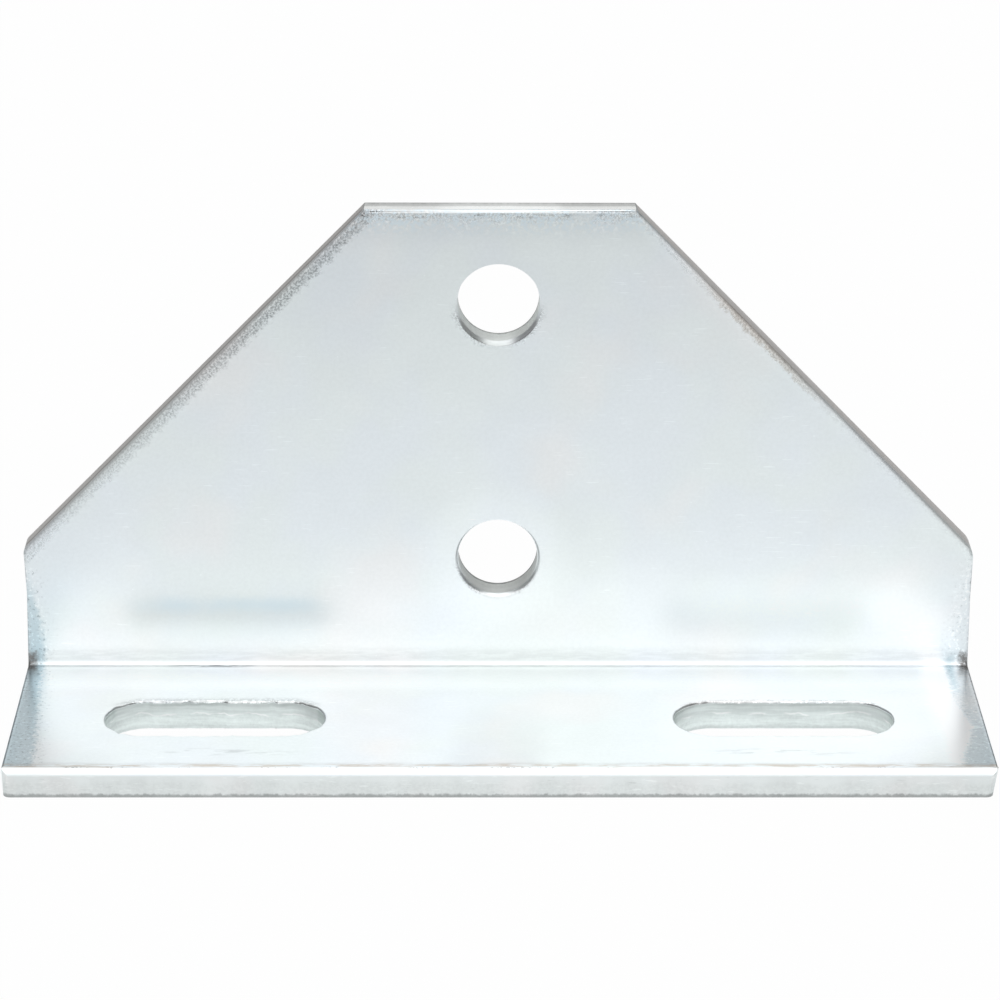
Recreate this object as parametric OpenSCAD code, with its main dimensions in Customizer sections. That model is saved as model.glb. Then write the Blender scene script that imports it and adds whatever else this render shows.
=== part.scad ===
// Corner angle bracket: one zinc plated steel blank, punched and then folded once along its width.
// X runs along the fold, Y from the front edge of the base to the back of the upright, Z is up.
// The origin is the middle of the underside of the base.

/* [Sheet] */
// Width of the bracket along the fold
bracket_w = 130; // [100:1:200]
// Thickness of the steel sheet
sheet_t = 4; // [2.5:0.25:6]
// Radius inside the fold
fold_r = 0.6; // [0.5:0.1:4]

/* [Base] */
// Depth of the base, from its front edge to the back of the upright
base_depth = 38; // [34:0.5:60]
// Length of each slot, end to end
slot_len = 29.4; // [14:0.2:36]
// Width of each slot
slot_w = 11; // [5:0.5:13]
// Distance between the centres of the two slots
slot_pitch = 76.2; // [50:0.2:90]
// Distance from the front edge back to the centreline of the slots
slot_setback = 15.8; // [10:0.2:20]

/* [Upright] */
// Overall height, from the underside of the base to the top edge
upright_h = 69.5; // [60:0.5:120]
// Width of the top edge between the sloping shoulders
top_w = 36; // [20:0.5:80]
// Height of the straight sides, where the shoulders start
side_h = 21; // [15:0.5:30]
// Diameter of both bolt holes
hole_d = 11; // [5:0.5:14]
// Height of the lower hole above the underside of the base
low_hole_h = 20; // [17:0.5:24]
// Distance between the two holes
hole_pitch = 36.5; // [20:0.5:38]

/* [Punched edges] */
// Radius that the punch rolls over along the outline of the inner face
edge_roll = 0.9; // [0.2:0.1:1.2]
// Radius rolled over at the mouths of the holes and slots
hole_roll = 0.5; // [0.1:0.1:0.8]

/* [Hidden] */
$fn = 96;

// How far a cutting tool reaches past the surface that it cuts
reach = 1;

// The fold: its outer radius and the line that both of its radii turn about
fold_out_r = fold_r + sheet_t;
fold_y = base_depth / 2 - fold_out_r;
fold_z = fold_out_r;

// Where the two inner faces and the front edge lie
front_y = -base_depth / 2;
inner_y = base_depth / 2 - sheet_t;
slot_y = front_y + slot_setback;

// The two ends of the right shoulder, seen from the front
half_w = bracket_w / 2;
shoulder_foot = [half_w, side_h];
shoulder_head = [top_w / 2, upright_h];

// Places its children on the inner face of the upright: local X and Y are the bracket's X and Z
module on_upright() translate([0, inner_y, 0]) rotate([90, 0, 0]) children();

// Places its children on the upper face of the base
module on_base() translate([0, 0, sheet_t]) children();

// Both ends of something that the bracket has on its left and its right
module both_sides() {
    children();
    mirror([1, 0, 0]) children();
}

// The folded section, across the bracket: the base, the fold and the upright
module fold_section() {
    translate([front_y, 0]) square([base_depth - fold_out_r, sheet_t]);
    translate([inner_y, fold_z]) square([sheet_t, upright_h - fold_z]);
    translate([fold_y, fold_z]) intersection() {
        difference() {
            circle(fold_out_r);
            circle(fold_r);
        }
        translate([0, -fold_out_r]) square(fold_out_r);
    }
}

// What the punch takes off a sharp edge: the corner is at the origin, the sheet lies at +X and -Y
module roll_profile(r, out = reach) {
    difference() {
        translate([-out, -r]) square([r + out, r + reach]);
        translate([r, -r]) circle(r);
    }
}

// Runs its profile along an upward face from p to q, past each end by the given lengths
module along_edge(p, q, past_p = 0, past_q = 0) {
    run = q - p;
    translate([p[0], p[1], 0]) rotate([0, 0, atan2(run[1], run[0])])
        translate([-past_p, 0, 0])
            rotate([90, 0, 90]) linear_extrude(norm(run) + past_p + past_q) children();
}

// A rolled edge round the mouth of a hole in an upward face, reaching at most half way to the middle of the hole
module roll_mouth(hole_r, r, sweep = 360) {
    rotate_extrude(angle = sweep) translate([hole_r, 0]) roll_profile(r, min(reach, hole_r / 2));
}

// The right shoulder, shorn off with its rolled edge in one stroke
module shoulder_shear() {
    along_edge(shoulder_foot, shoulder_head, reach, reach) {
        roll_profile(edge_roll);
        translate([-half_w, -sheet_t - reach]) square([half_w, sheet_t + 2 * reach]);
    }
}

// The shorn and rolled outline of the upright's inner face
module upright_edges() {
    along_edge([half_w, upright_h], [-half_w, upright_h]) roll_profile(edge_roll);
    both_sides() {
        along_edge([half_w, fold_z], [half_w, upright_h]) roll_profile(edge_roll);
        shoulder_shear();
    }
}

// The rolled outline of the base's upper face
module base_edges() {
    along_edge([-half_w, front_y], [half_w, front_y], reach, reach) roll_profile(edge_roll);
    both_sides() along_edge([half_w, front_y], [half_w, fold_y], reach) roll_profile(edge_roll);
}

// The rolled ends of the fold, which join the outlines of the two faces
module fold_edges() {
    both_sides() translate([half_w, fold_y, fold_z]) rotate([0, 90, 0])
        roll_mouth(fold_r, edge_roll, 90);
}

// A round punch through the upright, with its rolled mouth
module bolt_hole(height) {
    on_upright() translate([0, height, 0]) {
        translate([0, 0, -sheet_t - reach]) cylinder(d = hole_d, h = sheet_t + 2 * reach);
        roll_mouth(hole_d / 2, hole_roll);
    }
}

// A slot punched through the base, with its rolled mouth
module base_slot() {
    half_run = (slot_len - slot_w) / 2;
    on_base() translate([slot_pitch / 2, slot_y, 0]) {
        translate([0, 0, -sheet_t - reach]) {
            for (x = [-half_run, half_run])
                translate([x, 0, 0]) cylinder(d = slot_w, h = sheet_t + 2 * reach);
            translate([-half_run, -slot_w / 2, 0]) cube([2 * half_run, slot_w, sheet_t + 2 * reach]);
        }
        for (turn = [0, 180]) rotate([0, 0, turn]) {
            translate([half_run, 0, 0]) rotate([0, 0, -90]) roll_mouth(slot_w / 2, hole_roll, 180);
            along_edge([-half_run, slot_w / 2], [half_run, slot_w / 2]) roll_profile(hole_roll);
        }
    }
}

// The whole bracket, a single folded sheet
module angle_bracket() {
    color([0.83, 0.86, 0.88]) difference() {
        rotate([90, 0, 90]) linear_extrude(bracket_w, center = true) fold_section();
        on_upright() upright_edges();
        on_base() base_edges();
        fold_edges();
        for (height = [low_hole_h, low_hole_h + hole_pitch]) bolt_hole(height);
        both_sides() base_slot();
    }
}

angle_bracket();
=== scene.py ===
import math
import bpy
from mathutils import Matrix, Vector


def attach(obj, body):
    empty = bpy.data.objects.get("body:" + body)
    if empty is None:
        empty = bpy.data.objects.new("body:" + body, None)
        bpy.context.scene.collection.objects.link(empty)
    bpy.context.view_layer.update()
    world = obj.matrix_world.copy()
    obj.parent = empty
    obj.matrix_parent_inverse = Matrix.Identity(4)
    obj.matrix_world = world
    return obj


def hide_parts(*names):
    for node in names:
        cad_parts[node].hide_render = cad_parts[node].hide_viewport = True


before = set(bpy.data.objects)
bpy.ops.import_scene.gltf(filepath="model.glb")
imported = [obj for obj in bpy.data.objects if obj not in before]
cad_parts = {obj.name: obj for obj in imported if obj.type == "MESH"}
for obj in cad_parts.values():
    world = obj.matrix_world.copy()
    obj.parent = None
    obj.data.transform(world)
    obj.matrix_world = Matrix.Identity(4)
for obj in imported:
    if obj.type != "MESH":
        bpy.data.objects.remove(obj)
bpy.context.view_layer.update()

mm = 0.001
touch = 0.01        # points this close, in millimetres, count as on a line or face

# Sheet sizes in millimetres, those of the solid part, then what the tools did to the edges.
bracket = {
    "width": 130.0,
    "thickness": 4.0,
    "foldRadius": 0.6,
    "depth": 38.0,
    "height": 69.5,
    "topWidth": 36.0,
    "sideHeight": 21.0,
    "edgeRoll": 0.5,        # radius pulled over by the punch
    "sideRoll": 0.24,       # the flange ends are hardly pulled over, as a share of the full roll
    "frontRoll": 0.95,      # the front edge is rolled over most
    "rollSteps": 6,
    "foldSteps": 10,
    "cornerSteps": 8,
    "smoothAngle": 32,
    "shoulderCut": {-1: 0.6, 1: 1.25},      # how far each shoulder corner is rounded back
    "tornSlant": {-1: 0.15, 1: 0.58},       # the torn lower half of each end wall leans in
    "waist": {-1: 0.22, 1: 0.12},           # the straight sides draw in below the shoulders
    "waistHeight": 14.5,
    "tornTop": 0.18,        # and the back of the top edge hangs a little
}

punch = {
    # each mouth is rolled out and down, sags and frays, and is round or nearly a straight slope
    "holes": [
        {"height": 20.0, "across": 10.85, "out": 0.45, "deep": 0.45, "sag": 0.55, "round": 1.0, "fray": 0.45},
        {"height": 56.5, "across": 10.95, "out": 0.28, "deep": 1.2, "sag": 0.85, "round": 0.15, "fray": 0.75},
    ],
    "holeShift": -0.16,     # both were pierced a little to the left
    "slotLength": 29.4,
    "slotWidth": 11.0,
    "slotPitch": 76.2,
    "slotSetback": 15.8,
    "slotShift": 0.3,       # and both slots a little further back
    "slotMouth": {"out": 0.32, "deep": 0.32, "sag": 0.0, "round": 1.0},
    "slotSteps": 24,        # cuts along half of a slot
    "slotTear": {-1: 0.9, 1: 0.4},          # how unevenly each slot's mouth was torn
    "tearGrain": 1.3,
    "mouthSteps": 5,
    "mouthTurn": 86,        # how far the roll of a mouth turns, in degrees
    "past": 1.0,            # how far a punch reaches past the sheet
    "sides": 96,
}

halfWidth = bracket["width"] / 2
foldOut = bracket["foldRadius"] + bracket["thickness"]
backY = bracket["depth"] / 2
frontY = -backY
innerY = backY - bracket["thickness"]
foldY = backY - foldOut
foldZ = foldOut
shoulderRun = halfWidth - bracket["topWidth"] / 2
shoulderRise = bracket["height"] - bracket["sideHeight"]
shoulderLong = math.hypot(shoulderRun, shoulderRise)
slotY = frontY + punch["slotSetback"] + punch["slotShift"]
slotRun = (punch["slotLength"] - punch["slotWidth"]) / 2        # half of a slot's straight part


def startFresh():
    if bpy.context.object and bpy.context.object.mode != "OBJECT":
        bpy.ops.object.mode_set(mode="OBJECT")
    bpy.ops.object.select_all(action="DESELECT")


def makeActive(piece):
    startFresh()
    piece.select_set(True)
    bpy.context.view_layer.objects.active = piece


def clearPicks(piece, kind):
    makeActive(piece)
    bpy.ops.object.mode_set(mode="EDIT")
    bpy.ops.mesh.select_mode(type=kind)
    bpy.ops.mesh.select_all(action="DESELECT")
    bpy.ops.object.mode_set(mode="OBJECT")


def editFaces(piece, test):
    clearPicks(piece, "FACE")
    for face in piece.data.polygons:
        face.select = test(face)
    bpy.ops.object.mode_set(mode="EDIT")


def editEdges(piece, test):
    clearPicks(piece, "EDGE")
    points = piece.data.vertices
    for edge in piece.data.edges:
        edge.select = test(points[edge.vertices[0]].co / mm, points[edge.vertices[1]].co / mm)
    bpy.ops.object.mode_set(mode="EDIT")


def editPoints(piece, test):
    clearPicks(piece, "VERT")
    for point in piece.data.vertices:
        point.select = test(point.co / mm)
    bpy.ops.object.mode_set(mode="EDIT")


def pullOut(run, axis):
    move = [0.0, 0.0, 0.0]
    move[axis] = run * mm
    bpy.ops.mesh.extrude_region_move(TRANSFORM_OT_translate={"value": move})


def innerGap(p):
    # distance from the inner face of the folded sheet
    if p.y > foldY and p.z < foldZ:
        return abs(math.hypot(p.y - foldY, p.z - foldZ) - bracket["foldRadius"])
    if p.z < foldZ:
        return abs(p.z - bracket["thickness"])
    return abs(p.y - innerY)


def shoulderGap(p):
    # how far a point is inside the sloping shoulder
    inFromSide = (halfWidth - abs(p.x)) * shoulderRise
    belowFoot = (bracket["sideHeight"] - p.z) * shoulderRun
    return (inFromSide + belowFoot) / shoulderLong


def onOutline(p):
    near = 0.6
    return (abs(abs(p.x) - halfWidth) < near or abs(p.z - bracket["height"]) < near
            or abs(p.y - frontY) < near or abs(shoulderGap(p)) < near)


def onRim(a, b):
    # an edge along the outline of the inner face, not one of the rows across it
    across = abs(a.x - b.x) > bracket["topWidth"] * 2 and abs(a.y - frontY) > touch
    return innerGap(a) < touch and innerGap(b) < touch and onOutline(a) and onOutline(b) and not across


def foldSheet():
    # the front edge of the base, drawn back, turned up round the fold and drawn to the top
    startFresh()
    bpy.ops.mesh.primitive_plane_add(size=mm, location=(0, 0, 0))
    sheet = bpy.context.object
    sheet.name = "angleBracket"
    sheet.scale = (bracket["width"], bracket["thickness"], 1)
    sheet.rotation_euler = (math.radians(90), 0, 0)
    sheet.location = (0, frontY * mm, bracket["thickness"] / 2 * mm)
    bpy.ops.object.transform_apply(location=True, rotation=True, scale=True)
    bpy.ops.object.mode_set(mode="EDIT")
    bpy.ops.mesh.select_all(action="SELECT")
    pullOut(foldY - frontY, 1)
    bpy.ops.mesh.spin(steps=bracket["foldSteps"], angle=math.radians(-90),
                      center=(0, foldY * mm, foldZ * mm), axis=(1, 0, 0))
    pullOut(bracket["height"] - foldZ, 2)
    bpy.ops.mesh.select_all(action="SELECT")
    bpy.ops.mesh.remove_doubles(threshold=0.0001 * mm)
    bpy.ops.mesh.select_all(action="DESELECT")
    bpy.ops.mesh.select_mode(type="FACE")
    bpy.ops.mesh.select_interior_faces()
    bpy.ops.mesh.delete(type="FACE")
    bpy.ops.mesh.select_all(action="SELECT")
    bpy.ops.mesh.normals_make_consistent(inside=False)
    bpy.ops.object.mode_set(mode="OBJECT")
    print("folded sheet", len(sheet.data.polygons), "faces")
    return sheet


def shearShoulders(sheet):
    for side in (-1, 1):
        editFaces(sheet, lambda face: True)
        bpy.ops.mesh.bisect(plane_co=(side * halfWidth * mm, 0, bracket["sideHeight"] * mm),
                            plane_no=Vector((side * shoulderRise, 0, shoulderRun)).normalized(),
                            use_fill=True, clear_outer=True)
        bpy.ops.object.mode_set(mode="OBJECT")
    print("shoulders shorn", len(sheet.data.polygons), "faces")


def drawWaist(sheet):
    # one cut across the upright, its ends drawn in
    editFaces(sheet, lambda face: True)
    bpy.ops.mesh.bisect(plane_co=(0, 0, bracket["waistHeight"] * mm), plane_no=(0, 0, 1))
    for side in (-1, 1):
        editPoints(sheet, lambda p: p.x * side > halfWidth - 1 and abs(p.z - bracket["waistHeight"]) < touch)
        bpy.ops.transform.translate(value=(-side * bracket["waist"][side] * mm, 0, 0))
    bpy.ops.object.mode_set(mode="OBJECT")


def roundShoulders(sheet):
    # the corner between each shoulder and the straight side below it
    for side in (-1, 1):
        editEdges(sheet, lambda a, b: all(abs(p.x - side * halfWidth) < touch
                                          and abs(p.z - bracket["sideHeight"]) < touch for p in (a, b)))
        bpy.ops.mesh.bevel(offset=bracket["shoulderCut"][side] * mm, offset_type="OFFSET", profile=0.5,
                           segments=bracket["cornerSteps"], affect="EDGES", clamp_overlap=False)
        bpy.ops.object.mode_set(mode="OBJECT")


def rollFront(sheet):
    # the front edge and the two corners beside it
    editEdges(sheet, lambda a, b: abs(a.y - frontY) < touch and abs(b.y - frontY) < touch and max(a.z, b.z) > 1
              and (abs(a.x - b.x) < touch or min(a.z, b.z) > 1))
    bpy.ops.mesh.bevel(offset=bracket["frontRoll"] * mm, offset_type="OFFSET", profile=0.5,
                       segments=bracket["rollSteps"], affect="EDGES", clamp_overlap=False)
    bpy.ops.object.mode_set(mode="OBJECT")


def slantEnds(sheet):
    # the undersides of the base's ends lean in, and the back of the top edge hangs
    for side in (-1, 1):
        editPoints(sheet, lambda p: p.x * side > halfWidth - bracket["frontRoll"] - touch
                   and p.z < foldZ + touch and innerGap(p) > bracket["thickness"] - touch)
        bpy.ops.transform.translate(value=(-side * bracket["tornSlant"][side] * mm, 0, 0))
    editPoints(sheet, lambda p: p.z > bracket["height"] - touch and p.y > backY - touch)
    bpy.ops.transform.translate(value=(0, 0, -bracket["tornTop"] * mm))
    bpy.ops.object.mode_set(mode="OBJECT")


def rollOutline(sheet):
    # the punch pulls the inner face over along its whole outline, less at the ends of the flange
    editEdges(sheet, onRim)
    bpy.ops.transform.edge_bevelweight(value=1.0)
    editEdges(sheet, lambda a, b: onRim(a, b) and max(a.z, b.z) < bracket["thickness"] + touch
              and abs(a.x - b.x) < touch)
    bpy.ops.transform.edge_bevelweight(value=bracket["sideRoll"] - 1.0)
    bpy.ops.object.mode_set(mode="OBJECT")
    roll = sheet.modifiers.new("roll", "BEVEL")
    roll.limit_method = "WEIGHT"
    roll.width = bracket["edgeRoll"] * mm
    roll.segments = bracket["rollSteps"]
    roll.use_clamp_overlap = False
    bpy.ops.object.modifier_apply(modifier=roll.name)
    print("outline rolled", len(sheet.data.polygons), "faces")


def makePunch(name, radius, mouth):
    # a round punch standing on its end: straight below, flared over at the mouth
    startFresh()
    depth = bracket["thickness"] + punch["past"]
    bpy.ops.mesh.primitive_cylinder_add(vertices=punch["sides"], radius=radius * mm, depth=depth * mm,
                                        end_fill_type="NGON",
                                        location=(0, 0, (-mouth["deep"] - depth / 2) * mm))
    tool = bpy.context.object
    tool.name = name
    bpy.ops.object.transform_apply(location=True, rotation=True, scale=True)
    editFaces(tool, lambda face: face.normal.z > 0.9)
    wide = radius
    low = -mouth["deep"]
    for step in range(1, punch["mouthSteps"] + 1):
        part = step / punch["mouthSteps"]
        turn = math.radians(punch["mouthTurn"] * part)
        newWide = radius + mouth["out"] * (part + ((1 - math.cos(turn)) - part) * mouth["round"])
        newLow = -mouth["deep"] + mouth["deep"] * (part + (math.sin(turn) - part) * mouth["round"])
        pullOut(newLow - low, 2)
        bpy.ops.transform.resize(value=(newWide / wide, newWide / wide, 1))
        bpy.ops.transform.translate(value=(0, (wide - newWide) * mouth["sag"] * mm, 0))
        wide, low = newWide, newLow
    pullOut(punch["past"], 2)
    bpy.ops.mesh.select_all(action="SELECT")
    bpy.ops.mesh.normals_make_consistent(inside=False)
    bpy.ops.object.mode_set(mode="OBJECT")
    return tool


def setTool(tool, turn, place):
    tool.data.transform(Matrix.Translation(Vector(place) * mm) @ Matrix.Rotation(math.radians(turn), 4, "X"))


def punchThrough(sheet, tool):
    makeActive(sheet)
    cut = sheet.modifiers.new("punch", "BOOLEAN")
    cut.operation = "DIFFERENCE"
    cut.solver = "EXACT"
    cut.object = tool
    bpy.ops.object.modifier_apply(modifier=cut.name)
    bpy.data.objects.remove(tool)


def stretchPunch(tool, half):
    # cut down the middle, pull the halves apart and bridge the gap
    editFaces(tool, lambda face: True)
    bpy.ops.mesh.bisect(plane_co=(0, 0, 0), plane_no=(1, 0, 0), use_fill=False, clear_inner=True)
    bpy.ops.object.mode_set(mode="OBJECT")
    editPoints(tool, lambda p: True)
    bpy.ops.transform.translate(value=(half * mm, 0, 0))
    editEdges(tool, lambda a, b: abs(a.x - half) < 0.0001 and abs(b.x - half) < 0.0001)
    for step in range(punch["slotSteps"]):
        pullOut(-half / punch["slotSteps"], 0)
    bpy.ops.object.mode_set(mode="OBJECT")
    mirror = tool.modifiers.new("otherEnd", "MIRROR")
    mirror.use_clip = True
    mirror.merge_threshold = 0.001 * mm
    makeActive(tool)
    bpy.ops.object.modifier_apply(modifier=mirror.name)
    editFaces(tool, lambda face: True)
    bpy.ops.mesh.remove_doubles(threshold=0.001 * mm)
    bpy.ops.mesh.normals_make_consistent(inside=False)
    bpy.ops.object.mode_set(mode="OBJECT")


def tearMouth(tool, amount):
    # an uneven mouth, straight again lower down
    editPoints(tool, lambda p: p.z > bracket["thickness"] - punch["slotMouth"]["deep"] - touch)
    bpy.ops.object.vertex_group_add()
    bpy.ops.object.vertex_group_assign()
    bpy.ops.object.mode_set(mode="OBJECT")
    grit = bpy.data.textures.new("tornRim", "CLOUDS")
    grit.noise_scale = punch["tearGrain"] * mm
    uneven = tool.modifiers.new("uneven", "DISPLACE")
    uneven.texture = grit
    uneven.texture_coords = "LOCAL"
    uneven.direction = "Y"
    uneven.vertex_group = tool.vertex_groups[0].name
    uneven.strength = amount * mm
    bpy.ops.object.modifier_apply(modifier=uneven.name)


def punchHoles(sheet):
    for hole in punch["holes"]:
        tool = makePunch("roundPunch", hole["across"] / 2, hole)
        setTool(tool, 90, (punch["holeShift"], innerY, hole["height"]))
        punchThrough(sheet, tool)
    for side in (-1, 1):
        tool = makePunch("slotPunch", punch["slotWidth"] / 2, punch["slotMouth"])
        stretchPunch(tool, slotRun)
        setTool(tool, 0, (side * punch["slotPitch"] / 2, slotY, bracket["thickness"]))
        tearMouth(tool, punch["slotTear"][side])
        punchThrough(sheet, tool)
    print("holes punched", len(sheet.data.polygons), "faces")


sheet = foldSheet()
shearShoulders(sheet)
roundShoulders(sheet)
drawWaist(sheet)
rollFront(sheet)
slantEnds(sheet)
rollOutline(sheet)
punchHoles(sheet)
makeActive(sheet)
bpy.ops.object.shade_smooth_by_angle(angle=math.radians(bracket["smoothAngle"]))
weigh = sheet.modifiers.new("flatFaces", "WEIGHTED_NORMAL")
weigh.keep_sharp = True
weigh.weight = 100
bpy.ops.object.modifier_apply(modifier=weigh.name)


def feed(tree, source, socket):
    if isinstance(source, bpy.types.NodeSocket):
        tree.links.new(source, socket)
    else:
        socket.default_value = source


def calc(tree, operation, *terms):
    node = tree.nodes.new("ShaderNodeMath")
    node.operation = operation
    for term, socket in zip(terms, node.inputs):
        feed(tree, term, socket)
    return node.outputs[0]


def times(tree, first, *others):
    for other in others:
        first = calc(tree, "MULTIPLY", first, other)
    return first


def nearest(tree, first, *others):
    for other in others:
        first = calc(tree, "MINIMUM", first, other)
    return first


def diagonal(tree, first, second):
    return calc(tree, "SQRT", calc(tree, "ADD", times(tree, first, first), times(tree, second, second)))


def fade(tree, value, start, end, low=0.0, high=1.0):
    # soft step from low at start to high at end
    node = tree.nodes.new("ShaderNodeMapRange")
    node.interpolation_type = "SMOOTHSTEP"
    for source, name in ((value, "Value"), (start, "From Min"), (end, "From Max"),
                         (low, "To Min"), (high, "To Max")):
        feed(tree, source, node.inputs[name])
    return node.outputs[0]


def stripe(tree, value, middle, half):
    # one along the middle of a line, nothing past its half width
    return fade(tree, calc(tree, "ABSOLUTE", calc(tree, "SUBTRACT", value, middle)), half, 0.0)


def bar(tree, mark, x, z):
    # a soft patch along the sheet, fading out at its left and its right
    return times(tree, stripe(tree, z, mark["height"], mark["half"]),
                 fade(tree, x, *mark["left"]), fade(tree, x, *mark["right"]))


def stretch(tree, vector, scale, turn=(0, 0, 0), shift=(0, 0, 0)):
    node = tree.nodes.new("ShaderNodeMapping")
    tree.links.new(vector, node.inputs["Vector"])
    node.inputs["Scale"].default_value = scale
    node.inputs["Rotation"].default_value = [math.radians(v) for v in turn]
    node.inputs["Location"].default_value = shift
    return node.outputs[0]


def mottle(tree, vector, size, detail=2.0, rough=0.5):
    node = tree.nodes.new("ShaderNodeTexNoise")
    tree.links.new(vector, node.inputs["Vector"])
    node.inputs["Scale"].default_value = 1 / size
    node.inputs["Detail"].default_value = detail
    node.inputs["Roughness"].default_value = rough
    return node.outputs[0]


def blend(tree, amount, first, second, kind="MIX"):
    node = tree.nodes.new("ShaderNodeMix")
    node.data_type = "RGBA"
    node.blend_type = kind
    feed(tree, amount, node.inputs[0])
    feed(tree, first, node.inputs[6])
    feed(tree, second, node.inputs[7])
    return node.outputs[2]


def shadeBy(tree, colour, amount):
    # darker or lighter by a number from the maths nodes
    node = tree.nodes.new("ShaderNodeVectorMath")
    node.operation = "SCALE"
    tree.links.new(colour, node.inputs[0])
    feed(tree, amount, node.inputs["Scale"])
    return node.outputs[0]


def millimetres(tree):
    coord = tree.nodes.new("ShaderNodeTexCoord")
    place = stretch(tree, coord.outputs["Object"], (1000, 1000, 1000))
    split = tree.nodes.new("ShaderNodeSeparateXYZ")
    tree.links.new(place, split.inputs[0])
    return place, split.outputs[0], split.outputs[1], split.outputs[2]


def edgeGaps(tree, x, y, z):
    # distance in from the side, the top, the front and the shoulder
    aside = calc(tree, "ABSOLUTE", x)
    side = calc(tree, "SUBTRACT", halfWidth, aside)
    top = calc(tree, "SUBTRACT", bracket["height"], z)
    front = calc(tree, "SUBTRACT", y, frontY)
    drop = calc(tree, "SUBTRACT", bracket["sideHeight"], z)
    lean = calc(tree, "ADD", times(tree, side, shoulderRise / shoulderLong),
                times(tree, drop, shoulderRun / shoulderLong))
    return aside, side, top, front, lean


def blendValue(tree, amount, first, second):
    node = tree.nodes.new("ShaderNodeMix")
    feed(tree, amount, node.inputs[0])
    feed(tree, first, node.inputs[2])
    feed(tree, second, node.inputs[3])
    return node.outputs[0]


plating = {
    "blue": (0.856, 0.889, 0.912, 1),
    "green": (0.864, 0.900, 0.897, 1),
    "warm": (0.890, 0.893, 0.892, 1),
    "smear": (0.75, 0.835, 0.885, 1),
    "foldEndDark": (0.27, 0.26, 0.255, 1),
    "rust": (0.62, 0.52, 0.43, 1),
    # painted shade for the ends of the sheet
    "shade": (0.585, 0.69, 0.735, 1),
    "roughness": 0.30,
    "relief": 0.05,         # height of the opened grain in millimetres
    "lowPatchRight": {"height": 12.8, "half": 6.0, "left": (18, 30), "right": (60, 50), "strength": 0.10},
    "lowPatchLeft": {"height": 9.2, "half": 2.6, "left": (-54, -46), "right": (-20, -28), "strength": 0.09},
    "runMark": {"height": 12.9, "half": 1.9, "left": (-53, -45), "right": (-22, -29), "strength": 0.8},
    # how strong each kind of mark is
    "scratches": 0.08, "topRollShade": 0.40, "rubbed": 0.4, "frost": 0.85, "stripLight": 0.15, "edgeShade": 0.5,
    "foldGrey": 0.14, "foldShade": 0.36, "wash": 0.13, "nicks": 0.35, "stain": 0.75, "scuffs": 0.24,
    "chips": 0.30,
}


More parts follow.
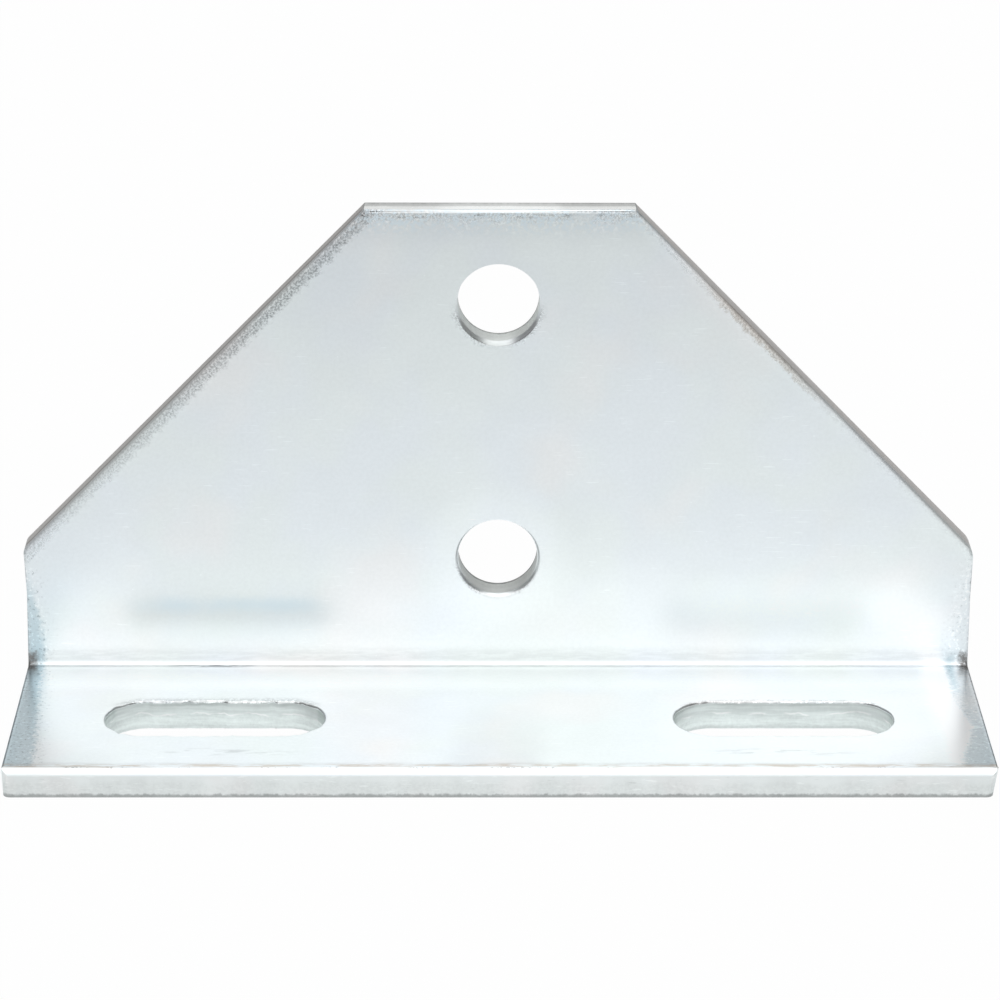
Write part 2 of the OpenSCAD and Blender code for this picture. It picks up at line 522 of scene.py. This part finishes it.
def platedFinish():
    finish = bpy.data.materials.new("brightZinc")
    finish.use_nodes = True
    tree = finish.node_tree
    shade = tree.nodes["Principled BSDF"]
    shade.inputs["Metallic"].default_value = 1.0
    place, x, y, z = millimetres(tree)
    aside, side, top, front, lean = edgeGaps(tree, x, y, z)
    inner = fade(tree, calc(tree, "MAXIMUM", calc(tree, "SUBTRACT", y, innerY),
                            calc(tree, "SUBTRACT", bracket["thickness"], z)), 2.6, 1.6)

    # slow drift of the plating colour
    cloud = mottle(tree, place, 14, 2)
    drift = mottle(tree, stretch(tree, place, (1, 1, 1), shift=(31, 7, 12)), 18, 2)
    colour = blend(tree, fade(tree, cloud, 0.38, 0.62), plating["blue"], plating["green"])
    colour = blend(tree, fade(tree, drift, 0.5, 0.70), colour, plating["warm"])

    # rolling grain along the sheet, fine mottle, short scratches and bright specks
    grain = mottle(tree, stretch(tree, place, (0.10, 2.2, 2.2)), 1, 2, 0.6)
    fine = mottle(tree, place, 0.5, 2, 0.6)
    slow = mottle(tree, stretch(tree, place, (1, 1, 1), shift=(3, 5, 8)), 6, 1)
    level = calc(tree, "ADD", fade(tree, grain, 0.2, 0.8, 0.997, 1.003),
                 fade(tree, fine, 0.25, 0.75, -0.018, 0.018))
    level = calc(tree, "ADD", level, fade(tree, slow, 0.3, 0.7, -0.008, 0.008))
    # painted light: a little lighter towards the right
    level = calc(tree, "ADD", level, fade(tree, x, -35, 45, -0.004, 0.022))
    dash = mottle(tree, stretch(tree, place, (0.36, 4.8, 4.8), (0, 2, 1)), 1, 1, 0.4)
    scratch = times(tree, fade(tree, dash, 0.68, 0.75), fade(tree, slow, 0.45, 0.6))
    cells = tree.nodes.new("ShaderNodeTexVoronoi")
    cells.inputs["Scale"].default_value = 0.42
    tree.links.new(place, cells.inputs["Vector"])
    pick = tree.nodes.new("ShaderNodeSeparateColor")
    tree.links.new(cells.outputs["Color"], pick.inputs[0])
    speck = times(tree, fade(tree, cells.outputs["Distance"], 0.06, 0.03),
                  fade(tree, pick.outputs[0], 0.74, 0.76))
    level = calc(tree, "ADD", level, times(tree, calc(tree, "MAXIMUM", scratch, speck), plating["scratches"]))

    # darker below the top edge, and lighter patches low on both sides
    level = times(tree, level, fade(tree, top, 0.5, 6.5, 0.91, 1.0))
    onFace = times(tree, fade(tree, y, innerY - 1.0, innerY - 0.2), inner)
    for mark in (plating["lowPatchRight"], plating["lowPatchLeft"]):
        lowPatch = times(tree, bar(tree, mark, x, z), onFace)
        level = calc(tree, "MULTIPLY_ADD", lowPatch, mark["strength"], level)
    colour = shadeBy(tree, colour, level)

    # opened grain where the punch pulled the face over, with painted shade along the top roll and a painted
    # highlight round the lower hole
    ragged = times(tree, calc(tree, "SUBTRACT", mottle(tree, place, 1.0, 2, 0.7), 0.5), 2.6)
    leftward = fade(tree, x, 20, -20)
    crystal = mottle(tree, place, 0.30, 2, 0.6)
    dashes = mottle(tree, stretch(tree, place, (0.25, 1.6, 1.6), shift=(2, 1, 5)), 1, 3, 0.6)
    patchy = calc(tree, "ADD", times(tree, leftward, 0.2), slow)
    topBand = times(tree, fade(tree, calc(tree, "ADD", top, ragged), 2.4, 0.8), fade(tree, top, 0.30, 0.5),
                    fade(tree, patchy, 0.42, 0.62, 0.15, 0.66))
    # painted shade along the rolled top edge, broken into dashes
    topRollShade = times(tree, stripe(tree, top, 0.75, 0.55), fade(tree, dashes, 0.50, 0.62),
                    fade(tree, patchy, 0.45, 0.6, 0.15, 1.0))
    frayed = fade(tree, calc(tree, "MULTIPLY_ADD", ragged, 0.8, lean),
                  fade(tree, leftward, 0, 1, 1.2, 2.0), fade(tree, leftward, 0, 1, 0.6, 1.0))
    leanBand = times(tree, frayed, fade(tree, z, 24, 58, 0.45, 1.0))
    rubbed = times(tree, leanBand, fade(tree, x, 25, 32), fade(tree, x, 46, 38))
    fainter = times(tree, leanBand, fade(tree, leftward, 0, 1, 0.35, 1.0))
    leanBand = times(tree, calc(tree, "MAXIMUM", rubbed, fainter), fade(tree, lean, 0.05, 0.35, 0.45, 1.0))
    mouths = []
    for hole in punch["holes"]:
        rise = calc(tree, "SUBTRACT", z, hole["height"])
        run = calc(tree, "SUBTRACT", x, punch["holeShift"])
        rim = calc(tree, "SUBTRACT", diagonal(tree, run, rise), hole["across"] / 2)
        low = times(tree, fade(tree, rise, 0.5, -2.0), fade(tree, aside, 1.2, 2.8, 0.25, 1.0),
                    fade(tree, y, innerY - 1.0, innerY - 0.4), fade(tree, y, innerY + 0.3, innerY + 0.05),
                    hole["fray"] * 1.1)
        mouths.append((rim, low, hole["fray"]))
    rimBands = [times(tree, low, fade(tree, calc(tree, "MULTIPLY_ADD", ragged, 0.6, rim), fray * 1.7, 0.25))
                for rim, low, fray in mouths]
    rimBand = calc(tree, "MAXIMUM", *rimBands)
    opened = times(tree, calc(tree, "MAXIMUM", calc(tree, "MAXIMUM", topBand, leanBand), rimBand), inner)
    # painted highlight: a lighter halo round the lower hole
    paintedHalo = times(tree, fade(tree, mouths[0][0], 7.0, 1.0), onFace)
    colour = shadeBy(tree, colour, calc(tree, "MULTIPLY_ADD", paintedHalo, 0.06, 1.0))
    pits = blendValue(tree, opened, 1.0, fade(tree, crystal, 0.30, 0.68, 0.56, 1.08))
    pits = calc(tree, "SUBTRACT", pits, times(tree, leanBand, leftward, inner,
                                              fade(tree, lean, 0.2, 0.5), 0.16))
    colour = shadeBy(tree, colour, calc(tree, "SUBTRACT", pits, times(tree, topRollShade, plating["topRollShade"])))
    colour = blend(tree, times(tree, rubbed, inner, plating["rubbed"]), colour, plating["rust"])

    # frosted patches below the top edge, bluish with bright spots
    frost = mottle(tree, stretch(tree, place, (1, 1, 1), shift=(9, 4, 2)), 0.7, 3, 0.7)
    frosted = times(tree, fade(tree, top, 4.4, 1.0), fade(tree, patchy, 0.40, 0.65, 0.45, 1.0), inner)
    icy = times(tree, frosted, fade(tree, frost, 0.46, 0.58), plating["frost"])
    colour = blend(tree, icy, colour, plating["smear"])
    spots = fade(tree, frost, 0.44, 0.36, 0.0, 0.14)
    colour = shadeBy(tree, colour, calc(tree, "MULTIPLY_ADD", frosted, spots, 1.0))

    # painted shade: darker, bluish ends standing in for the dark sides they reflect, with flecks and scrapes,
    # wider towards the front corners and waisted on the right
    onRight = calc(tree, "GREATER_THAN", x, 0)
    onFlange = fade(tree, z, 7, 3.5)
    waisted = calc(tree, "MULTIPLY_ADD", stripe(tree, y, -5, 10), -1.5, fade(tree, y, -10, -17, 3.4, 4.3))
    reach = blendValue(tree, onFlange, fade(tree, z, 20, 5, 0.6, 2.4),
                       blendValue(tree, onRight, fade(tree, y, 14, -18, 2.2, 4.0), waisted))
    inward = calc(tree, "SUBTRACT", side, reach)
    behindRoll = times(tree, inner, fade(tree, front, 0.9, 1.3))
    shadedEnds = times(tree, fade(tree, calc(tree, "ADD", inward, times(tree, ragged, 0.8)), 0.6, -0.6), behindRoll,
                  fade(tree, z, 19, 13), fade(tree, inward, -3.2, -0.4, 1.0, 0.8))
    border = times(tree, stripe(tree, inward, -0.6, 1.0), fade(tree, y, 4, 9), 0.8)
    tinted = calc(tree, "ADD", border, fade(tree, y, 4, -8, 0.24, 0.85))
    tinted = blendValue(tree, onRight, 1.0, blendValue(tree, onFlange, 0.14, tinted))
    colour = blend(tree, times(tree, shadedEnds, tinted), colour, plating["shade"])

    # painted light on a strip beside the right end, then the flecks, the light ones painted glints, and painted
    # shade along the edge of both ends
    # painted light: a lighter strip beside the right end
    litStrip = times(tree, fade(tree, inward, -0.2, 0.6), fade(tree, x, 57, 61), behindRoll, onFlange)
    colour = shadeBy(tree, colour, calc(tree, "MULTIPLY_ADD", litStrip, plating["stripLight"], 1.0))
    sideBand = times(tree, fade(tree, calc(tree, "MULTIPLY_ADD", ragged, 1.2, inward), 2.2, -0.5), behindRoll,
                     fade(tree, z, 24, 18))
    # the light flecks are painted glints, the dark ones grain
    flecks = calc(tree, "SUBTRACT", times(tree, fade(tree, fine, 0.58, 0.66), 0.24),
                  times(tree, fade(tree, fine, 0.42, 0.32), fade(tree, x, -5, 5, 0.34, 0.16)))
    scrape = times(tree, stripe(tree, slow, 0.5, 0.016), fade(tree, dashes, 0.45, 0.55),
                   fade(tree, x, 0, 5), 0.24)
    colour = shadeBy(tree, colour, calc(tree, "MULTIPLY_ADD", sideBand, calc(tree, "ADD", flecks, scrape), 1.0))
    # painted shade along the very edge of both ends
    edgeShade = times(tree, fade(tree, calc(tree, "MULTIPLY_ADD", ragged, 0.15, side), 0.35, 0.12), inner,
                  fade(tree, z, 20, 17), fade(tree, slow, 0.35, 0.6, 0.35, 1.0))
    colour = shadeBy(tree, colour, calc(tree, "MULTIPLY_ADD", edgeShade, -plating["edgeShade"], 1.0))

    # the fold: greyer just above it, painted shade as a broken dark line in its root, painted light on the base
    # near it, darker patches at its ends
    greyAboveFold = times(tree, fade(tree, z, foldZ + 2.6, foldZ + 0.9), fade(tree, z, foldZ - 0.1, foldZ + 0.3), inner,
                  fade(tree, y, innerY - 0.5, innerY - 0.1), fade(tree, dashes, 0.35, 0.6, 0.45, 1.0))
    spotted = times(tree, stripe(tree, x, -39, 9), fade(tree, dashes, 0.42, 0.56))
    broken = calc(tree, "ADD", spotted, fade(tree, dashes, 0.40, 0.62, 0.75, 1.0))
    # painted shade: a broken dark line in the root of the fold
    shadeUnder = times(tree, fade(tree, y, foldY - 0.6, foldY - 0.1), fade(tree, y, foldY + 0.36, foldY + 0.2),
                  inner, fade(tree, z, foldZ, foldZ - 0.2), broken)
    onBase = times(tree, fade(tree, z, foldZ, foldZ - 0.4), inner)
    # painted light: the base a little lighter near the fold
    nearFold = times(tree, fade(tree, y, foldY, foldY - 3.5), fade(tree, y, foldY - 9, foldY - 6))
    litNearFold = calc(tree, "MULTIPLY_ADD", nearFold, fade(tree, x, -30, 20, 0.085, 0.05), 0.04)
    litNearFold = times(tree, onBase, litNearFold)
    level = calc(tree, "ADD", times(tree, greyAboveFold, plating["foldGrey"]), times(tree, shadeUnder, plating["foldShade"]))
    colour = shadeBy(tree, colour, calc(tree, "ADD", calc(tree, "SUBTRACT", 1.0, level), litNearFold))
    foldRise = calc(tree, "SUBTRACT", z, foldZ)
    foldRun = calc(tree, "SUBTRACT", y, foldY)
    axle = diagonal(tree, foldRise, foldRun)
    darkFoldEnds = times(tree, fade(tree, calc(tree, "ADD", axle, times(tree, ragged, 0.8)), 2.0, 0.8),
                   fade(tree, calc(tree, "ADD", side, times(tree, ragged, 0.5)), 1.7, 0.7), inner,
                   fade(tree, crystal, 0.36, 0.5, 0.45, 0.95))
    colour = blend(tree, darkFoldEnds, colour, plating["foldEndDark"])

    # a bluish run mark on the left, stain behind the rolled front edge, scuffs in front of the slots
    smear = times(tree, bar(tree, plating["runMark"], x, calc(tree, "ADD", z, times(tree, ragged, 0.35))),
                  onFace, fade(tree, slow, 0.3, 0.6, 0.5, 1.0), plating["runMark"]["strength"])
    colour = blend(tree, smear, colour, plating["smear"])
    wander = mottle(tree, stretch(tree, place, (0.16, 0.02, 0.02)), 1, 2, 0.6)
    tide = calc(tree, "SUBTRACT", front, calc(tree, "MULTIPLY_ADD", wander, 0.8, 0.85))
    wash = times(tree, stripe(tree, tide, 0.4, 0.85), inner, fade(tree, dashes, 0.3, 0.6, 0.5, 1.0))
    stain = times(tree, stripe(tree, tide, 0, 0.75), fade(tree, dashes, 0.40, 0.58), inner)
    nicks = times(tree, stripe(tree, calc(tree, "MULTIPLY_ADD", ragged, 0.3, front), 0.75, 0.5),
                  fade(tree, fine, 0.50, 0.62), fade(tree, slow, 0.50, 0.62), inner)
    worn = calc(tree, "ADD", times(tree, wash, plating["wash"]), times(tree, nicks, plating["nicks"]))
    colour = shadeBy(tree, colour, calc(tree, "SUBTRACT", 1.0, worn))
    colour = blend(tree, times(tree, stain, plating["stain"]), colour, plating["rust"])
    scuffed = times(tree, stripe(tree, y, -13.6, 1.7), stripe(tree, aside, 37, 14),
                    fade(tree, dashes, 0.50, 0.62), inner)

    # chips behind the mouths of the slots
    along = calc(tree, "ABSOLUTE", calc(tree, "SUBTRACT", aside, punch["slotPitch"] / 2))
    along = calc(tree, "MAXIMUM", calc(tree, "SUBTRACT", along, slotRun), 0.0)
    across = calc(tree, "SUBTRACT", y, slotY)
    rim = calc(tree, "SUBTRACT", diagonal(tree, along, across), punch["slotWidth"] / 2)
    chipped = fade(tree, calc(tree, "MULTIPLY_ADD", ragged, 0.6, rim), fade(tree, x, -5, 5, 1.7, 0.75), 0.1)
    chips = times(tree, chipped, fade(tree, across, 3.5, 5), fade(tree, fine, 0.38, 0.52),
                  fade(tree, z, 3.2, 3.5))
    worn = calc(tree, "ADD", times(tree, scuffed, plating["scuffs"]), times(tree, chips, plating["chips"]))
    colour = shadeBy(tree, colour, calc(tree, "SUBTRACT", 1.0, worn))
    tree.links.new(colour, shade.inputs["Base Color"])

    dull = calc(tree, "ADD", plating["roughness"], fade(tree, grain, 0.25, 0.75, -0.006, 0.006))
    dull = calc(tree, "ADD", dull, fade(tree, cloud, 0.35, 0.65, -0.012, 0.012))
    dull = calc(tree, "SUBTRACT", dull, times(tree, opened, 0.06))
    dull = calc(tree, "MULTIPLY_ADD", times(tree, fade(tree, lean, 0.75, 0.45), inner),
                fade(tree, leftward, 0, 1, 0.24, 0.34), dull)
    tree.links.new(calc(tree, "ADD", dull, times(tree, darkFoldEnds, 0.2)), shade.inputs["Roughness"])

    # relief of the opened grain, and hardly any elsewhere
    edge = nearest(tree, lean, times(tree, top, 0.9), calc(tree, "MULTIPLY_ADD", side, 1.5, 1.0))
    roundRims = [times(tree, low, fade(tree, rim, fray * 1.7, 0.25)) for rim, low, fray in mouths]
    coarse = calc(tree, "MAXIMUM", fade(tree, edge, 2.0, 0.7), calc(tree, "MAXIMUM", *roundRims))
    relief = times(tree, calc(tree, "ADD", times(tree, coarse, inner), 0.006), crystal)
    bump = tree.nodes.new("ShaderNodeBump")
    bump.inputs["Distance"].default_value = plating["relief"] * mm
    tree.links.new(relief, bump.inputs["Height"])
    tree.links.new(bump.outputs[0], shade.inputs["Normal"])
    return finish


shorn = {
    "burnished": (0.795, 0.815, 0.805, 1),
    "torn": (0.755, 0.775, 0.762, 1),
    "green": (0.765, 0.82, 0.80, 1),
    "lip": (0.95, 0.96, 0.95, 1),
    "warm": (0.80, 0.785, 0.775, 1),
    "shoulder": (0.80, 0.775, 0.755, 1),
    "roughness": (0.38, 0.46),      # burnished and torn
    "relief": 0.03,
    "tearDepth": 0.75,      # least depth at which the sheet tore
    "tearSwing": 2.2,       # and how much deeper it goes in places
    "burrShade": (0.44, 0.12),   # how dark the burred edge and its painted shade are outside and inside the slots
    "crease": (0.05, 0.45),         # and the crease of the right and the left shoulder
    "slotFront": 0.22,      # light on the front walls of the slots and in the upper hole
    "upperHole": 0.17,
}


def shornFinish():
    finish = bpy.data.materials.new("shornEdge")
    finish.use_nodes = True
    tree = finish.node_tree
    shade = tree.nodes["Principled BSDF"]
    shade.inputs["Metallic"].default_value = 1.0
    place, x, y, z = millimetres(tree)
    aside, side, top, front, lean = edgeGaps(tree, x, y, z)
    upright = calc(tree, "GREATER_THAN", z, foldZ - 0.4)
    depth = blendValue(tree, upright, calc(tree, "SUBTRACT", bracket["thickness"], z),
                       calc(tree, "SUBTRACT", y, innerY))
    onTop = fade(tree, top, 0.3, 0.2)
    inSlot = times(tree, fade(tree, front, 1, 2), fade(tree, z, 4.2, 4.0), fade(tree, side, 8, 10))

    # punch marks run straight through the sheet
    lengthwise = blend(tree, upright, stretch(tree, place, (1, 1, 0.5)), stretch(tree, place, (1, 0.12, 1)))
    streak = mottle(tree, lengthwise, 0.6, 2, 0.6)
    wave = mottle(tree, lengthwise, 5.0, 3, 0.6)
    start = calc(tree, "MULTIPLY_ADD", wave, shorn["tearSwing"], shorn["tearDepth"])
    past = calc(tree, "SUBTRACT", depth, start)
    torn = fade(tree, past, -0.5, 0.6)
    pitted = mottle(tree, place, 0.4, 2, 0.6)
    colour = blend(tree, torn, shorn["burnished"], shorn["torn"])
    colour = blend(tree, times(tree, inSlot, 0.7), colour, shorn["green"])
    lip = times(tree, stripe(tree, past, -0.02, 0.2), fade(tree, mottle(tree, place, 2.6, 1), 0.40, 0.55),
                inSlot)
    colour = blend(tree, lip, colour, shorn["lip"])
    onFront = fade(tree, front, 0.3, 0.1)
    smooth = fade(tree, onFront, 0, 1, 1.0, 0.25)
    level = calc(tree, "MULTIPLY_ADD", smooth, fade(tree, streak, 0.25, 0.75, -0.025, 0.025), 1.0)
    level = calc(tree, "ADD", level, times(tree, torn, fade(tree, pitted, 0.3, 0.7, -0.04, 0.03)))
    level = calc(tree, "ADD", level, fade(tree, wave, 0.3, 0.7, -0.03, 0.03))
    jagged = times(tree, calc(tree, "SUBTRACT", streak, 0.5), 0.7)
    # the burred back edge darker, partly painted shade along it
    burrShade = fade(tree, calc(tree, "ADD", depth, jagged), 3.35, 3.75)
    level = calc(tree, "SUBTRACT", level, times(tree, burrShade, fade(tree, inSlot, 0, 1, *shorn["burrShade"])))
    # painted shade: the top wall darker overall, and darker still towards its torn back edge
    level = times(tree, level, blendValue(tree, onTop, 1.0, fade(tree, depth, 1.9, 2.6, 0.86, 0.56)))

    # slot walls: painted shade below the mouth and at the round ends, painted light in front, and painted light
    # in the upper hole too
    bands = mottle(tree, stretch(tree, place, (0.15, 0.15, 1.7)), 1, 2, 0.6)
    level = calc(tree, "ADD", level, times(tree, inSlot, fade(tree, bands, 0.3, 0.7, -0.07, 0.10)))
    shadeUnder = calc(tree, "ADD", fade(tree, depth, 0.6, 3.2, -0.13, 0.08), fade(tree, depth, 0.9, 0.5, 0.0, -0.12))
    level = calc(tree, "ADD", level, times(tree, inSlot, shadeUnder))
    outward = calc(tree, "SUBTRACT", aside, punch["slotPitch"] / 2)
    ends = calc(tree, "ADD",
                fade(tree, outward, -slotRun - 0.5, -slotRun - 4.0, 0.0, fade(tree, x, -5, 5, 0.16, 0.06)),
                fade(tree, outward, slotRun + 0.5, slotRun + 4.0, 0.0, fade(tree, x, -5, 5, 0.06, 0.0)))
    level = calc(tree, "SUBTRACT", level, times(tree, inSlot, ends))
    nearWall = times(tree, inSlot, fade(tree, y, slotY - 2, slotY - 4), fade(tree, x, 0, 20, 0.5, 1.0))
    upperHole = times(tree, fade(tree, z, 45, 50), fade(tree, aside, 9, 7))
    lifted = calc(tree, "ADD", times(tree, nearWall, shorn["slotFront"]),
                  times(tree, upperHole, shorn["upperHole"]))
    level = calc(tree, "ADD", level, lifted)

    # the front wall is warmer in places and scored along its length
    warmth = times(tree, onFront, fade(tree, mottle(tree, place, 9, 2), 0.46, 0.62), 0.5)
    colour = blend(tree, warmth, colour, shorn["warm"])
    scored = mottle(tree, stretch(tree, place, (0.38, 1, 2.2)), 1, 2, 0.6)
    marks = calc(tree, "SUBTRACT", fade(tree, scored, 0.60, 0.68, 0.0, 0.09),
                 fade(tree, scored, 0.36, 0.28, 0.0, 0.10))
    level = calc(tree, "ADD", level, times(tree, onFront, marks))
    colour = shadeBy(tree, colour, level)

    # the shoulders have one tone, with a crease where the sheet tore
    onShoulder = times(tree, fade(tree, lean, 0.5, 0.3), fade(tree, z, 20.5, 21.5), fade(tree, top, 0.1, 0.5))
    crease = times(tree, onShoulder, stripe(tree, calc(tree, "MULTIPLY_ADD", wave, 0.8, depth), 1.75, 0.7),
                   fade(tree, x, 5, -5, *shorn["crease"]))
    colour = blend(tree, onShoulder, colour, shorn["shoulder"])
    colour = shadeBy(tree, colour, calc(tree, "SUBTRACT", 1.0, crease))
    tree.links.new(colour, shade.inputs["Base Color"])

    dull = fade(tree, torn, 0, 1, *shorn["roughness"])
    dull = calc(tree, "ADD", dull, fade(tree, streak, 0.3, 0.7, -0.03, 0.03))
    dull = calc(tree, "MULTIPLY_ADD", onShoulder, fade(tree, x, -5, 5, 0.07, 0.22), dull)
    inHole = times(tree, fade(tree, aside, 9, 7), fade(tree, top, 2, 3), upright)
    dull = calc(tree, "MULTIPLY_ADD", inHole, 0.3, dull)
    tree.links.new(calc(tree, "SUBTRACT", dull, times(tree, onTop, 0.14)), shade.inputs["Roughness"])
    bump = tree.nodes.new("ShaderNodeBump")
    bump.inputs["Distance"].default_value = shorn["relief"] * mm
    relief = calc(tree, "MULTIPLY_ADD", streak, 0.25, times(tree, fade(tree, depth, 1.4, 2.6), pitted))
    tree.links.new(times(tree, relief, smooth), bump.inputs["Height"])
    tree.links.new(bump.outputs[0], shade.inputs["Normal"])
    return finish


sheet.data.materials.clear()
sheet.data.materials.append(platedFinish())
sheet.data.materials.append(shornFinish())
# the walls between the rolled edges and the back
editFaces(sheet, lambda face: (bracket["frontRoll"] * 1.1 < innerGap(face.center / mm)
                               < bracket["thickness"] - 0.1))
sheet.active_material_index = 1
bpy.ops.object.material_slot_assign()
bpy.ops.object.mode_set(mode="OBJECT")
print("finishes set")

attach(sheet, "root")
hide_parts("angle_bracket")

# White table: plain white to the camera, and in the metal it dims with distance.
table = {"size": 6.0, "drop": 0.02, "cameraWhite": 0.985, "glossWhite": 0.9, "near": 1.125, "far": 0.61,
         "fall": 0.285, "tint": (0.95, 0.985, 1.0, 1), "matt": (0.62, 0.65, 0.66, 1)}
startFresh()
bpy.ops.mesh.primitive_plane_add(size=table["size"], location=(0, 0, -table["drop"] * mm))
floor = bpy.context.object
floor.name = "table"
paper = bpy.data.materials.new("whiteTable")
paper.use_nodes = True
paper.cycles.emission_sampling = "NONE"
tree = paper.node_tree
tree.nodes.clear()
out = tree.nodes.new("ShaderNodeOutputMaterial")
mix = tree.nodes.new("ShaderNodeMixShader")
matt = tree.nodes.new("ShaderNodeBsdfDiffuse")
matt.inputs["Color"].default_value = table["matt"]
glow = tree.nodes.new("ShaderNodeEmission")
path = tree.nodes.new("ShaderNodeLightPath")
coord = tree.nodes.new("ShaderNodeTexCoord")
away = tree.nodes.new("ShaderNodeVectorMath")
away.operation = "LENGTH"
tree.links.new(stretch(tree, coord.outputs["Object"], (1, 1, 1), shift=(0, -innerY * mm, 0)), away.inputs[0])
falloff = tree.nodes.new("ShaderNodeMapRange")
feed(tree, away.outputs["Value"], falloff.inputs["Value"])
falloff.inputs["From Max"].default_value = table["fall"]
falloff.inputs["To Min"].default_value = table["near"]
falloff.inputs["To Max"].default_value = table["far"]
seen = path.outputs["Is Camera Ray"]
mirrored = calc(tree, "MAXIMUM", path.outputs["Is Glossy Ray"], path.outputs["Is Transmission Ray"])
tree.links.new(blendValue(tree, seen, falloff.outputs[0], 1.0), glow.inputs["Strength"])
tree.links.new(blend(tree, seen, table["tint"], (1, 1, 1, 1)), glow.inputs["Color"])
share = calc(tree, "MAXIMUM", times(tree, seen, table["cameraWhite"]),
             times(tree, mirrored, table["glossWhite"]))
tree.links.new(share, mix.inputs["Fac"])
tree.links.new(matt.outputs[0], mix.inputs[1])
tree.links.new(glow.outputs[0], mix.inputs[2])
tree.links.new(mix.outputs[0], out.inputs["Surface"])
floor.data.materials.append(paper)

# Studio: a tall light behind the camera that leans overhead, dark sides, a narrow white card at the back.
studio = {"dark": 0.22, "light": 1.085, "back": 0.10, "card": 0.75,
          "lightWide": (0.55, 0.28), "lightEnd": (0.8, 0.45),       # where each fades out, as directions
          "cardStart": (0.7, 0.85), "cardWide": (0.17, 0.08)}
world = bpy.data.worlds.new("studio")
bpy.context.scene.world = world
world.use_nodes = True
tree = world.node_tree
back = tree.nodes["Background"]
back.inputs["Color"].default_value = (1, 1, 1, 1)
coord = tree.nodes.new("ShaderNodeTexCoord")
split = tree.nodes.new("ShaderNodeSeparateXYZ")
tree.links.new(coord.outputs["Generated"], split.inputs[0])
sideways = calc(tree, "ABSOLUTE", split.outputs["X"])
backward = split.outputs["Y"]
tall = times(tree, fade(tree, sideways, *studio["lightWide"]), fade(tree, backward, *studio["lightEnd"]),
             studio["light"])
card = calc(tree, "ADD", fade(tree, sideways, *studio["cardWide"], 0.0, studio["card"]), studio["back"])
card = times(tree, fade(tree, backward, *studio["cardStart"]), card)
tree.links.new(calc(tree, "ADD", calc(tree, "ADD", tall, card), studio["dark"]), back.inputs["Strength"])

lamp = {"size": 0.30, "height": 0.40, "front": -0.05, "watts": 0.10}
startFresh()
bpy.ops.object.light_add(type="AREA", location=(0, lamp["front"], lamp["height"]))
softbox = bpy.context.object
softbox.name = "softbox"
softbox.data.shape = "SQUARE"
softbox.data.size = lamp["size"]
softbox.data.energy = lamp["watts"]
softbox.visible_camera = False

# Camera from a little above, square to the fold.
view = {"place": (-4.06, -471.7, 217.3), "down": 21.21, "swing": -0.492, "lean": 0.212, "lens": 138.2}
startFresh()
bpy.ops.object.camera_add(location=[v * mm for v in view["place"]])
camera = bpy.context.object
turn = (Matrix.Rotation(math.radians(view["swing"]), 4, "Z")
        @ Matrix.Rotation(math.radians(90 - view["down"]), 4, "X")
        @ Matrix.Rotation(math.radians(view["lean"]), 4, "Z"))
camera.rotation_euler = turn.to_euler()
camera.data.lens = view["lens"]
camera.data.sensor_width = 36
camera.data.clip_start = 0.01
bpy.context.scene.camera = camera
bpy.context.scene.view_settings.view_transform = "Standard"
